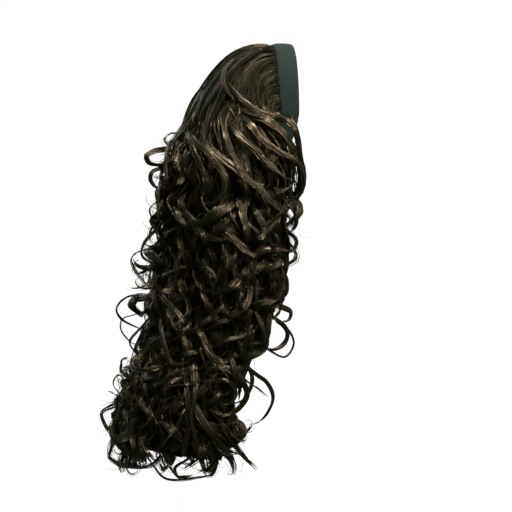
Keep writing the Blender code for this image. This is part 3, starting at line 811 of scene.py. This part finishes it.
def tier_locks(rng, tier):
    """A tier's locks from the right front edge round the back to the left: around, strands and middle."""
    spread = (np.arange(tier.count) + 0.5) / tier.count
    around = -1 + 2 * spread + rng.uniform(-0.3, 0.3, tier.count) * 2 / tier.count
    count = tier.count
    start = tier.start + rng.uniform(-0.07, 0.07, count)
    end = np.minimum(tier.end + rng.uniform(-0.09, 0.08, count), 0.95 + 0.035 * rng.random(count))
    kind = rng.random(count)
    little, much = rng.uniform(-0.6, 0.6, count), rng.uniform(0.9, 1.7, count) * rng.choice([-1, 1], count)
    tilt = np.where(kind < 0.55, little, much)
    low = smooth_step((end - 0.74) / 0.12)
    hand = np.where(rng.random(count) < 0.80 - 0.25 * low, 1, -1)
    paths, ribbons = laid_paths(
        rng,
        around,
        start,
        end,
        tier.ride + rng.uniform(-0.002, 0.003, count),
        tier.wave * rng.uniform(0.6, 1.35, count),
        tier.pitch * rng.uniform(0.8, 1.3, count),
        tilt,
        rng.uniform(0.35, 1.0, count) * rng.choice([-1, 1], count),
        np.where(hand > 0, rng.uniform(-0.002, 0.004, count), rng.uniform(0.004, 0.010, count)),
    )
    radius = tier.hook * np.exp(rng.normal(0, 0.20, count))
    turned = rng.uniform(3.6, 7.4, count) * (1 - 0.30 * low)
    paths, ribbons = with_hooks(paths, ribbons, radius, turned, hand, rng.uniform(-16, 16, count))
    seeds = rng.integers(0, 2**31, count)
    for number in range(count):
        own = np.random.default_rng(seeds[number])
        lock = (paths[number], ribbons[number])
        width = tier.width * own.uniform(0.75, 1.25)
        # The locks that end lowest get a fibre tone up to 0.09 darker: painted shade at the bottom of the hair.
        tone = 0.43 - 0.09 * low[number] + own.uniform(-0.10, 0.10)
        strands = (tier.strands, LOCK_KNOTS, width, STRAND_HALF, tone)
        bundle = lock_bundle(own, *lock, *strands, depth=width * 0.10)
        yield around[number], bundle, lock_core(own, *lock, CORE_KNOTS, width * 0.72, width * 0.16, tone)


def curve_through(knots, steps=160):
    """A smooth curve through points, with its spots spread evenly."""
    spots = lengths_along(knots)
    slopes = np.gradient(knots, spots, axis=0)
    wanted = np.linspace(0, spots[-1], steps)
    i = np.clip(np.searchsorted(spots, wanted, side="right") - 1, 0, len(spots) - 2)
    span = (spots[i + 1] - spots[i])[:, None]
    t = (wanted - spots[i])[:, None] / span
    return (
        knots[i] * (2 * t**3 - 3 * t**2 + 1)
        + slopes[i] * span * (t**3 - 2 * t**2 + t)
        + knots[i + 1] * (3 * t**2 - 2 * t**3)
        + slopes[i + 1] * span * (t**3 - t**2)
    )


def camera_away():
    """The way from what the camera aims at to the camera."""
    level = math.cos(CAMERA_ELEVATION)
    return (math.sin(CAMERA_AZIMUTH) * level, -math.cos(CAMERA_AZIMUTH) * level, math.sin(CAMERA_ELEVATION))


class SeenHair:
    """The hair's surface as the camera sees it, on a fine grid of flow places."""

    def __init__(self):
        away = np.array(camera_away())
        spot = np.array(CAMERA_TARGET) + away * CAMERA_DISTANCE
        right = unit(np.cross(-away, [0, 0, 1]))
        ways = (-away, right, np.cross(right, -away))
        around = np.arange(*SEEN_AROUND, SEEN_STEP)
        place = np.arange(*SEEN_PLACE, SEEN_STEP)
        self.around, self.place = np.meshgrid(around, place, indexing="ij")
        points, out = flow_frame(self.around, self.place)
        facing = np.sum(out * unit(spot - points), axis=-1)
        self.hidden = np.where(facing < -0.25, 50, 0) + np.maximum(0, 0.05 - facing) * 2
        self.spots = [(points - spot) @ way for way in ways]
        self.rises = [out @ way for way in ways]

    def pixels(self, lift):
        """The pixel columns and rows of the surface, lifted by so many millimetres."""
        ahead, right, up = (spot + lift * 0.001 * rise for spot, rise in zip(self.spots, self.rises))
        scale = PICTURE_PIXELS * CAMERA_DISTANCE / PICTURE_WIDTH / ahead
        return PICTURE_PIXELS / 2 + scale * right, PICTURE_PIXELS / 2 - scale * up

    def find(self, pixel, least):
        """Around, place and the smallest lift in millimetres, from least up, that show at a pixel."""
        nearest = None
        for lift in range(least, least + HIGHEST_RISE):
            columns, rows = self.pixels(lift)
            off = np.hypot(columns - pixel[0], rows - pixel[1]) + self.hidden
            best = np.unravel_index(np.argmin(off), off.shape)
            if nearest is None or off[best] < nearest[0] - 0.25:
                nearest = (off[best], self.around[best], self.place[best], lift)
            if off[best] < 1:
                break
        return nearest[1:]


def lock_spots(seen, lock):
    """Around, place and lift in metres along a lock, whose root starts down in the hair or at the band."""
    lifts = [lock.lift - 9, lock.lift - 2] + [lock.lift] * (len(lock.path) - 2)
    spots = np.array([seen.find(pixel, lift) for pixel, lift in zip(lock.path, lifts)])
    if lock.name in LIFTS_AT_BAND:
        spots[:2, 2] = LIFTS_AT_BAND[lock.name]
    return np.round(spots, 3) * (1, 1, 0.001)


def traced_bundle(rng, lock, spots, mirrored):
    """A single lock through its spots: its strands and the combed middle under them."""
    spots = spots.copy()
    spots[:, 2] += 0.003 * (spots[:, 2] > 0.0045)
    if spots[:, 0].max() > 0:
        spots[:, 0] = np.where(spots[:, 0] < 0, 0.5 * spots[:, 0], spots[:, 0])
    points, out = flow_frame(-spots[:, 0] if mirrored else spots[:, 0], spots[:, 1])
    path = curve_through(points + out * spots[:, 2:])
    way = unit(np.gradient(path, axis=0))
    side = np.cross(way[0], out[0])
    ribbon = np.empty_like(path)
    for number in range(len(path)):
        side = square_to(side, way[number])
        ribbon[number] = side
    knots = int(np.clip(lengths_along(path)[-1] / 0.0045, 20, CORE_KNOTS))
    width = lock.width * 0.001
    laid = width * 0.85
    core = lock_core(rng, path, ribbon, knots, laid, width * 0.24, lock.tone)
    strands = (lock.strands, knots, laid, STRAND_HALF, lock.tone, 0.0011, width * 0.22)
    return lock_bundle(rng, path, ribbon, *strands), core


def swept(around, place):
    """Where the combed hair goes: from the band it sweeps down along the sides of the head."""
    wide = np.abs(around)
    sweep = (1 - wide) * 0.62 * smooth_step((wide - 0.15) / 0.4) * smooth_step((1.1 + place) / 0.85)
    return np.sign(around) * (wide + sweep * (1 - 0.5 * smooth_step(place / 0.4)))


def crown_bundle(rng, count, knots, half, thick, lift, tone):
    """Combed hair from under the band down over the crown, half metres to each side of its middle."""
    share = np.linspace(0, 1, knots)
    around = np.sort(rng.uniform(-0.99, 0.99, count))[:, None]
    start = -1 + 0.55 * rng.random(count)[:, None] ** 2.6
    end = rng.uniform(0.0, 0.36, count)[:, None]
    place = start + (end - start) * share
    line = swept(around, place) + 0.03 * wander(rng, share, 1.2, (count,)) * share
    points, out = flow_frame(line, place)
    rise = 0.0003 + lift * rng.random(count)[:, None] ** 2 - dip(line, place)
    rise = rise - 0.007 * smooth_step((share - 0.75) / 0.25)
    rise = rise - 0.003 * (start > -0.97) * (1 - smooth_step(share / 0.2))
    points = eased(points + out * rise[..., None], 2)
    points[..., 0] += 0.0045 * (1 - smooth_step(share / 0.11)) * (start < -0.95)
    points = points - out * (0.0012 * (1 - smooth_step(share / 0.10)) * (start < -0.95))[..., None]
    way = unit(np.gradient(points, axis=1))
    across = np.cross(way, out)
    points = points + across * ((0.0003 + 0.0022 * share) * wander(rng, share, 4.0, (count,)))[..., None]
    taper = (0.7 + 0.3 * smooth_step(share / 0.1)) * (1 - 0.7 * smooth_step((share - 0.7) / 0.3))
    width = half * np.exp(rng.normal(0, 0.3, count))[:, None] * taper
    tones = np.clip(tone + rng.normal(0, 0.24, count), 0, 1)
    return Bundle(points, across, width, np.minimum(width * 0.55, thick), tones)


def loose_strands(rng, count):
    """Thin single strands that stray over the curls and curl up by themselves."""
    around = rng.uniform(-0.98, 0.98, count)
    start = rng.uniform(-0.6, 0.75, count)
    end = np.clip(start + rng.uniform(0.10, 0.45, count), 0.05, 0.92)
    paths, ribbons = laid_paths(
        rng,
        around,
        start,
        end,
        rng.uniform(0.002, 0.009, count),
        rng.uniform(0.001, 0.006, count),
        rng.uniform(0.05, 0.12, count),
        rng.uniform(-1.6, 1.6, count),
        rng.uniform(0, 1, count),
        rng.uniform(0.0, 0.010, count),
    )
    radius = rng.uniform(0.006, 0.018, count)
    hand = rng.choice([1, 1, 1, -1], count)
    turned = rng.uniform(1.5, 6.0, count)
    paths, ribbons = with_hooks(paths, ribbons, radius, turned, hand, rng.uniform(-25, 25, count))
    bundles = []
    for number in range(count):
        bundles.append(lock_bundle(rng, paths[number], ribbons[number], 1, 30, 0.0, 0.00026, 0.55, 0.001))
    return bundles


def hair_base(name):
    """What lies under the strands: a combed surface over the cap that sinks below the curls as it falls."""
    rng = np.random.default_rng(5)
    rows, columns = 84, 96
    share = np.linspace(0, 1, columns)
    lowest = 0.92 + 0.015 * wander(rng, share, 9.0) + rng.uniform(-0.05, 0.04, columns)
    place = -0.995 + np.linspace(0, 1, rows)[:, None] * (lowest[None, :] + 0.995)
    ragged = 0.09 + 0.02 * wander(rng, np.linspace(0, 1, rows), 7.0)[:, None]
    edge = 0.985 * (1 - ragged * smooth_step(place / 0.3))
    around = drawn_in(np.linspace(-1, 1, columns)[None, :] * edge, place)
    points, out = flow_frame(around, place)
    sunk = 0.0012 + 0.0140 * smooth_step((place + 0.25) / 0.45) + 0.010 * smooth_step((place - 0.62) / 0.25)
    sunk = sunk + dip(around, place)
    comb = np.zeros((rows, columns))
    for waves, high in ((31, 0.5), (47, 0.4), (68, 0.3)):
        shift = wander(rng, np.linspace(0, 1, rows), 2.0)[:, None]
        comb += high * np.sin(2 * math.pi * waves * share[None, :] + rng.uniform(0, 6.3) + 1.4 * shift)
    ridge = 0.0008 + 0.0030 * smooth_step((place + 0.1) / 0.3)
    outer = points + out * (comb * ridge - sunk)[..., None]
    crown_inner = crown_points(around, np.clip(1 + place, 0, 1), CAP_THICKNESS + 0.0006)
    fall_inner = hollow_points(around, np.maximum(place, 0))
    inner = np.where((place < 0)[..., None], crown_inner, fall_inner)
    outer[0, :, 0] += 0.0022
    inner[0, :, 0] += 0.0022
    outer[0] = 0.4 * outer[0] + 0.6 * inner[0]
    return shell_object(name, outer, inner, 0.1)


def inner_strands(rng, count, knots=24):
    """Hair on the inner side, hanging straight down from the cap's lower edge."""
    share = np.linspace(0, 1, knots)
    around = rng.uniform(-0.86, 0.86, count)[:, None] + 0.02 * wander(rng, share, 1.5, (count,))
    last = rng.uniform(0.55, 0.93, count)[:, None]
    depth = 0.01 + (last - 0.01) * share
    points = hollow_points(drawn_in(around, depth), depth)
    held = drawn_in(around, depth)
    aside = hollow_points(held + 0.004, depth) - hollow_points(held - 0.004, depth)
    way = unit(np.gradient(points, axis=1))
    out = unit(np.cross(aside, way))
    points = points - out * (0.0006 + 0.003 * rng.random(count)[:, None] * smooth_step(share * 3))[..., None]
    half = 0.0009 * np.exp(rng.normal(0, 0.3, count))[:, None] * (1 - 0.7 * smooth_step((share - 0.8) / 0.2))
    tones = np.clip(0.6 + rng.normal(0, 0.2, count), 0, 1)
    return Bundle(points, unit(aside), half, half * 0.5, tones)


# Band


def band_rings(steps=140, corners=28):
    """Rings of the padded band from its right end over the top to its left end."""
    along = np.linspace(0, 1, steps)
    angle = (along - 0.5) * 2 * BAND_END_ANGLE
    direction = np.stack([0 * angle, np.sin(angle), np.cos(angle)], axis=-1)
    narrowing = np.maximum(0, (np.abs(angle) / BAND_END_ANGLE - 0.72) / 0.28) ** 1.5
    width = BAND_WIDTH + (BAND_END_WIDTH - BAND_WIDTH) * narrowing
    closing = np.sqrt(np.clip(np.minimum(along, 1 - along) / 0.012 + 0.05, 0, 1))
    middle = np.array([0.0, 0.0, -CROWN_TO_EAR])
    inner = middle + direction * head_radius(direction, HEAD_BACK)[:, None]
    inner[:, 0] -= BAND_END_SETBACK * narrowing
    turn = 2 * math.pi * np.arange(corners) / corners
    across = signed_power(np.cos(turn), 0.62)
    rise = 0.5 + 0.5 * signed_power(np.sin(turn), 0.75)
    crown = 0.90 + 0.10 * (1 - across**2)
    fold = np.exp(-(((np.abs(angle) - math.radians(84)) / math.radians(2.2)) ** 2))
    thick = BAND_THICKNESS * (1 - 0.16 * fold) * closing
    half = (width / 2 - 0.0004) * (0.6 + 0.4 * closing)
    points = inner[:, None] + direction[:, None] * (thick[:, None] * (rise * crown)[None] + 0.0001)[..., None]
    points[..., 0] += half[:, None] * across[None]
    return points


def stitches():
    """The short light stitches across the fold near each end of the band."""
    spots = []
    for side in (-1, 1):
        for x, degrees, lean in ((-0.0050, 82.6, 0.0), (-0.0010, 82.8, 0.5), (0.0032, 82.7, -0.3)):
            angle = side * (math.radians(degrees) + np.linspace(-0.012, 0.012, 8))
            direction = np.stack([0 * angle, np.sin(angle), np.cos(angle)], axis=-1)
            reach = head_radius(direction, HEAD_BACK) + BAND_THICKNESS * 0.93
            points = np.array([0.0, 0.0, -CROWN_TO_EAR]) + direction * reach[:, None]
            points[:, 0] += x + 0.0016 * lean * np.linspace(-1, 1, 8)
            spots.append(points)
    points = np.stack(spots)
    size = np.full(points.shape[:2], 0.00035)
    return Bundle(points, np.zeros_like(points) + (1.0, 0.0, 0.0), size, size, np.full(len(spots), 1.0))


# Materials


def add_node(tree, kind, settings=None, **links):
    """A node of this kind with its settings and linked or set inputs, named by their sockets."""
    node = tree.nodes.new(kind)
    for label, value in (settings or {}).items():
        setattr(node, label, value)
    for label, value in links.items():
        numbered = label[0] == "i" and label[1:].isdigit()
        socket = node.inputs[int(label[1:]) if numbered else label.replace("_", " ")]
        if isinstance(value, bpy.types.NodeSocket):
            tree.links.new(value, socket)
        else:
            socket.default_value = value
    return node


def new_material(name):
    material = bpy.data.materials.new(name)
    material.use_nodes = True
    tree = material.node_tree
    return material, tree, tree.nodes["Principled BSDF"]


def ramp(tree, factor, stops):
    node = tree.nodes.new("ShaderNodeValToRGB")
    elements = node.color_ramp.elements
    while len(elements) < len(stops):
        elements.new(0.5)
    for element, (place, colour) in zip(elements, stops):
        element.position = place
        element.color = (*colour, 1)
    tree.links.new(factor, node.inputs["Fac"])
    return node.outputs["Color"]


def synthetic_hair(name, colours, roughness, gloss, fibre_size=None):
    """Modacrylic fibre, nearly black brown with some tan ones, smooth and glossy where it bends."""
    material, tree, shader = new_material(name)
    tone = add_node(tree, "ShaderNodeAttribute", {"attribute_name": "tone"}).outputs["Fac"]
    if fibre_size:
        comb = add_node(tree, "ShaderNodeAttribute", {"attribute_name": "comb"}).outputs["Vector"]
        fibres = add_node(tree, "ShaderNodeTexNoise", Vector=comb, Scale=1 / fibre_size, Detail=2.0)
        fibres = fibres.outputs["Fac"]
        added = add_node(tree, "ShaderNodeMath", {"operation": "MULTIPLY_ADD"}, i0=fibres, i1=2.4, i2=tone)
        tone = add_node(tree, "ShaderNodeMath", {"operation": "SUBTRACT"}, i0=added.outputs[0], i1=1.25)
        tone = tone.outputs[0]
        bump = add_node(tree, "ShaderNodeBump", Height=fibres, Strength=1.0, Distance=2.2 * fibre_size)
        tree.links.new(bump.outputs["Normal"], shader.inputs["Normal"])
        fine = add_node(tree, "ShaderNodeTexNoise", Vector=comb, Scale=1.4 / fibre_size).outputs["Fac"]
        smooth, dull = roughness - 0.06, roughness + 0.40
        limits = {"From_Min": 0.40, "From_Max": 0.60, "To_Min": smooth, "To_Max": dull}
        varied = add_node(tree, "ShaderNodeMapRange", Value=fine, **limits)
        tree.links.new(varied.outputs["Result"], shader.inputs["Roughness"])
    stops = (
        (0.0, linear("#020301")),
        (0.40, linear(colours[0])),
        (0.76, linear(colours[1])),
        (1.0, linear(colours[2])),
    )
    colour = ramp(tree, tone, stops)
    tree.links.new(colour, shader.inputs["Base Color"])
    if not fibre_size:
        shader.inputs["Roughness"].default_value = roughness
    shader.inputs["Specular IOR Level"].default_value = gloss
    shader.inputs["Specular Tint"].default_value = (*linear("#ffdcb0"), 1)
    return material


# Strands are single smooth fibres. Locks show many fine fibres, about fibre_size metres apart.
HairLook = namedtuple("HairLook", "roughness gloss fibre_size")
HAIR_LOOKS = {
    "combed_synthetic_hair": HairLook(0.36, 0.30, None),
    "combed_hair_locks": HairLook(0.42, 0.06, 0.0011),
    "curled_synthetic_hair": HairLook(0.23, 0.80, None),
    "curled_hair_locks": HairLook(0.20, 0.50, 0.0012),
}


def hair_material(name):
    """One of the hair's finishes, made the first time that it is asked for."""
    found = bpy.data.materials.get(name)
    if found:
        return found
    looks = bpy.context.scene.wig_settings
    return synthetic_hair(name, (looks.hair_dark, looks.hair_mid, looks.hair_light), *HAIR_LOOKS[name])


def dark_underhair():
    """Hair in the shade under the curls: nearly black, dull, with fine streaks down its length."""
    material, tree, shader = new_material("shaded_underhair")
    place = add_node(tree, "ShaderNodeUVMap", {"uv_map": "OFBake"}).outputs["UV"]
    stretched = add_node(tree, "ShaderNodeMapping", Vector=place, Scale=(260.0, 9.0, 1.0)).outputs["Vector"]
    noise = add_node(tree, "ShaderNodeTexNoise", Vector=stretched, Scale=1.0, Detail=4.0).outputs["Fac"]
    colour = ramp(tree, noise, ((0.35, linear("#050502")), (0.65, linear("#110f08"))))
    tree.links.new(colour, shader.inputs["Base Color"])
    bump = add_node(tree, "ShaderNodeBump", Height=noise, Strength=0.8, Distance=0.001)
    tree.links.new(bump.outputs["Normal"], shader.inputs["Normal"])
    shader.inputs["Roughness"].default_value = 0.7
    shader.inputs["Specular IOR Level"].default_value = 0.06
    return material


def band_fabric():
    """Brushed charcoal knit: matt, finely speckled, a little lighter where it is seen edge on."""
    material, tree, shader = new_material("brushed_knit_band")
    place = add_node(tree, "ShaderNodeTexCoord").outputs["Object"]
    speckle = add_node(tree, "ShaderNodeTexNoise", Vector=place, Scale=900.0, Detail=2.0).outputs["Fac"]
    colour = ramp(tree, speckle, ((0.3, linear("#0f1613")), (0.7, linear("#1a231f"))))
    tree.links.new(colour, shader.inputs["Base Color"])
    bump = add_node(tree, "ShaderNodeBump", Height=speckle, Strength=0.35, Distance=0.0004)
    tree.links.new(bump.outputs["Normal"], shader.inputs["Normal"])
    shader.inputs["Roughness"].default_value = 0.9
    shader.inputs["Specular IOR Level"].default_value = 0.12
    shader.inputs["Sheen Weight"].default_value = 0.10
    shader.inputs["Sheen Roughness"].default_value = 0.3
    return material


def sewing_thread():
    """Light grey sewing thread, dull against the dark band."""
    material, tree, shader = new_material("light_sewing_thread")
    shader.inputs["Base Color"].default_value = (*linear("#6f7672"), 1)
    shader.inputs["Roughness"].default_value = 0.8
    shader.inputs["Specular IOR Level"].default_value = 0.2
    return material


def cap_net():
    """The cap's sewn net: brown black and matt, mottled by its weave."""
    material, tree, shader = new_material("sewn_net_cap")
    place = add_node(tree, "ShaderNodeTexCoord").outputs["Object"]
    weft = add_node(tree, "ShaderNodeTexNoise", Vector=place, Scale=500.0).outputs["Fac"]
    colour = ramp(tree, weft, ((0.3, linear("#0e0c0a")), (0.7, linear("#1c1915"))))
    tree.links.new(colour, shader.inputs["Base Color"])
    shader.inputs["Roughness"].default_value = 0.85
    return material


def dress(obj, material, slot_name, *nodes):
    obj.data.materials.clear()
    obj.data.materials.append(material)
    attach(obj, "root")
    if nodes:
        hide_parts(*nodes)


# Tools


class WigSettings(bpy.types.PropertyGroup):
    hair_dark: bpy.props.StringProperty(name="Dark fibre", description="sRGB hex", default="#070b04")
    hair_mid: bpy.props.StringProperty(name="Main fibre", description="sRGB hex", default="#0c1109")
    hair_light: bpy.props.StringProperty(name="Light fibre", description="sRGB hex", default="#32291a")


class WIG_OT_band_and_cap(bpy.types.Operator):
    """Make the padded band and give the cap its net"""

    bl_idname = "wig.band_and_cap"
    bl_label = "Band and cap"

    def execute(self, context):
        band = ring_object("padded_band", band_rings())
        dress(band, band_fabric(), "band_fabric", "headband")
        dress(strands_object("band_stitches", [stitches()], 6), sewing_thread(), "band_fabric")
        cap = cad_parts["wig_cap"]
        cap.data.materials.clear()
        cap.data.materials.append(cap_net())
        return {"FINISHED"}


class WIG_OT_hair_base(bpy.types.Operator):
    """Make the hair that lies under the strands"""

    bl_idname = "wig.hair_base"
    bl_label = "Hair base"

    def execute(self, context):
        base = hair_base("hair_base")
        dress(base, dark_underhair(), "hair_fibre", "crown_hair", "right_fall", "back_fall", "left_fall")
        inside = strands_object("inner_strands", [inner_strands(np.random.default_rng(21), 170)])
        dress(inside, hair_material("combed_synthetic_hair"), "hair_fibre")
        return {"FINISHED"}


class WIG_OT_curls(bpy.types.Operator):
    """Make the curled locks of the sides and the back"""

    bl_idname = "wig.curls"
    bl_label = "Curls"

    def execute(self, context):
        pieces, cores = {}, {}
        for number, tier in enumerate(TIERS):
            for around, bundle, core in tier_locks(np.random.default_rng(100 + number), tier):
                region = "right" if around < -0.4 else "left" if around > 0.4 else "back"
                level = "upper" if number < 4 else "lower"
                pieces.setdefault(f"{region}_{level}_curls", []).append(bundle)
                cores.setdefault(f"{region}_curl_locks", []).append(core)
        for name, bundles in pieces.items():
            dress(strands_object(name, bundles), hair_material("curled_synthetic_hair"), "hair_fibre")
        for name, bundles in cores.items():
            dress(strands_object(name, bundles, CORE_CORNERS), hair_material("curled_hair_locks"), "hair_fibre")
        return {"FINISHED"}


class WIG_OT_single_locks(bpy.types.Operator):
    """Make the locks, hooks and loops that stand out one by one"""

    bl_idname = "wig.single_locks"
    bl_label = "Single locks"

    def execute(self, context):
        pieces = {}
        seen = SeenHair()
        for number, lock in enumerate(TRACED):
            spots = lock_spots(seen, lock)
            for mirrored in (False, True) if lock.both else (False,):
                rng = np.random.default_rng(300 + number + 100 * mirrored)
                side = "crown" if lock.name.startswith("crown") else "left" if mirrored else "right"
                pieces.setdefault(side, []).append(traced_bundle(rng, lock, spots, mirrored))
        for side, locks in pieces.items():
            kind = "combed" if side == "crown" else "curled"
            strands, cores = zip(*locks)
            material = hair_material(f"{kind}_synthetic_hair")
            dress(strands_object(f"{side}_single_locks", strands), material, "hair_fibre")
            middles = strands_object(f"{side}_single_lock_middles", cores, CORE_CORNERS)
            dress(middles, hair_material(f"{kind}_hair_locks"), "hair_fibre")
        return {"FINISHED"}


class WIG_OT_crown(bpy.types.Operator):
    """Make the combed strands of the crown"""

    bl_idname = "wig.crown"
    bl_label = "Crown strands"

    def execute(self, context):
        rng = np.random.default_rng(9)
        strands = crown_bundle(rng, 620, 26, 0.00050, 0.0004, 0.0030, 0.42)
        dress(strands_object("crown_strands", [strands]), hair_material("combed_synthetic_hair"), "hair_fibre")
        locks = crown_bundle(rng, 150, 28, 0.0030, 0.0007, 0.0010, 0.30)
        dress(strands_object("crown_locks", [locks], 6), hair_material("combed_hair_locks"), "hair_fibre")
        return {"FINISHED"}


class WIG_OT_loose_strands(bpy.types.Operator):
    """Make the thin strands that stray from the curls"""

    bl_idname = "wig.loose_strands"
    bl_label = "Loose strands"

    def execute(self, context):
        bundles = loose_strands(np.random.default_rng(77), 340)
        dress(strands_object("loose_strands", bundles), hair_material("curled_synthetic_hair"), "hair_fibre")
        return {"FINISHED"}


class WIG_OT_stage(bpy.types.Operator):
    """Make the floor, the lights and the camera"""

    bl_idname = "wig.stage"
    bl_label = "Stage"

    def execute(self, context):
        scene = context.scene
        floor_height = CAD_BOX[0][2] - 0.012
        verts, faces = [], []
        profile = [(-3.0, floor_height), (1.6, floor_height)]
        for step in range(1, 13):
            angle = step / 12 * math.pi / 2
            profile.append((1.6 + 0.9 * math.sin(angle), floor_height + 0.9 * (1 - math.cos(angle))))
        profile.append((2.5, 4.0))
        for y, z in profile:
            verts += [(-6.0, y, z), (6.0, y, z)]
        for i in range(len(profile) - 1):
            faces.append((2 * i, 2 * i + 1, 2 * i + 3, 2 * i + 2))
        mesh = bpy.data.meshes.new("studio_sweep")
        mesh.from_pydata(verts, [], faces)
        mesh.shade_smooth()
        sweep = bpy.data.objects.new("studio_sweep", mesh)
        scene.collection.objects.link(sweep)
        material, tree, shader = new_material("matte_white_sweep")
        shader.inputs["Base Color"].default_value = (0.16, 0.16, 0.16, 1)
        shader.inputs["Roughness"].default_value = 1.0
        shader.inputs["Specular IOR Level"].default_value = 0.0
        shader.inputs["Emission Color"].default_value = (1, 1, 1, 1)
        shader.inputs["Emission Strength"].default_value = 0.98
        sweep.visible_diffuse = False
        sweep.visible_glossy = False
        mesh.materials.append(material)
        middle = Vector((-0.08, 0, -0.26))
        for name, place, size, watts in (
            ("top_softbox", (0.12, -0.38, 0.85), 0.26, 28),
            ("front_softbox", (0.45, -1.15, 0.65), 0.32, 20),
            ("rear_softbox", (-1.0, 1.4, 0.9), 0.9, 11),
        ):
            lamp = bpy.data.lights.new(name, "AREA")
            lamp.shape = "SQUARE"
            lamp.size = size
            lamp.energy = watts
            obj = bpy.data.objects.new(name, lamp)
            obj.location = place
            obj.rotation_euler = (middle - Vector(place)).to_track_quat("-Z", "Y").to_euler()
            scene.collection.objects.link(obj)
        world = bpy.data.worlds.new("studio_air")
        world.use_nodes = True
        background = world.node_tree.nodes["Background"]
        background.inputs["Color"].default_value = (0.80, 1, 0.74, 1)
        background.inputs["Strength"].default_value = 0.20
        scene.world = world
        scene.view_settings.view_transform = "Standard"
        lens = bpy.data.cameras.new("camera")
        lens.sensor_width = 36
        lens.lens = 36 * CAMERA_DISTANCE / PICTURE_WIDTH
        camera = bpy.data.objects.new("camera", lens)
        scene.collection.objects.link(camera)
        away = Vector(camera_away())
        camera.location = Vector(CAMERA_TARGET) + away * CAMERA_DISTANCE
        camera.rotation_euler = (-away).to_track_quat("-Z", "Y").to_euler()
        scene.camera = camera
        return {"FINISHED"}


class WIG_PT_panel(bpy.types.Panel):
    """The wig's pieces and its stage, in order"""

    bl_label = "Half Wig"
    bl_idname = "WIG_PT_panel"
    bl_space_type = "VIEW_3D"
    bl_region_type = "UI"
    bl_category = "Wig"

    def draw(self, context):
        for tool in TOOLS:
            self.layout.operator(tool.bl_idname)


TOOLS = (
    WIG_OT_band_and_cap,
    WIG_OT_hair_base,
    WIG_OT_curls,
    WIG_OT_single_locks,
    WIG_OT_crown,
    WIG_OT_loose_strands,
    WIG_OT_stage,
)
CLASSES = (WigSettings, *TOOLS, WIG_PT_panel)


def register():
    for cls in CLASSES:
        bpy.utils.register_class(cls)
    bpy.types.Scene.wig_settings = bpy.props.PointerProperty(type=WigSettings)


def unregister():
    del bpy.types.Scene.wig_settings
    for cls in reversed(CLASSES):
        bpy.utils.unregister_class(cls)


def main():
    register()
    bpy.ops.wig.band_and_cap()
    bpy.ops.wig.hair_base()
    bpy.ops.wig.curls()
    bpy.ops.wig.single_locks()
    bpy.ops.wig.crown()
    bpy.ops.wig.loose_strands()
    bpy.ops.wig.stage()


if __name__ == "__main__":
    main()
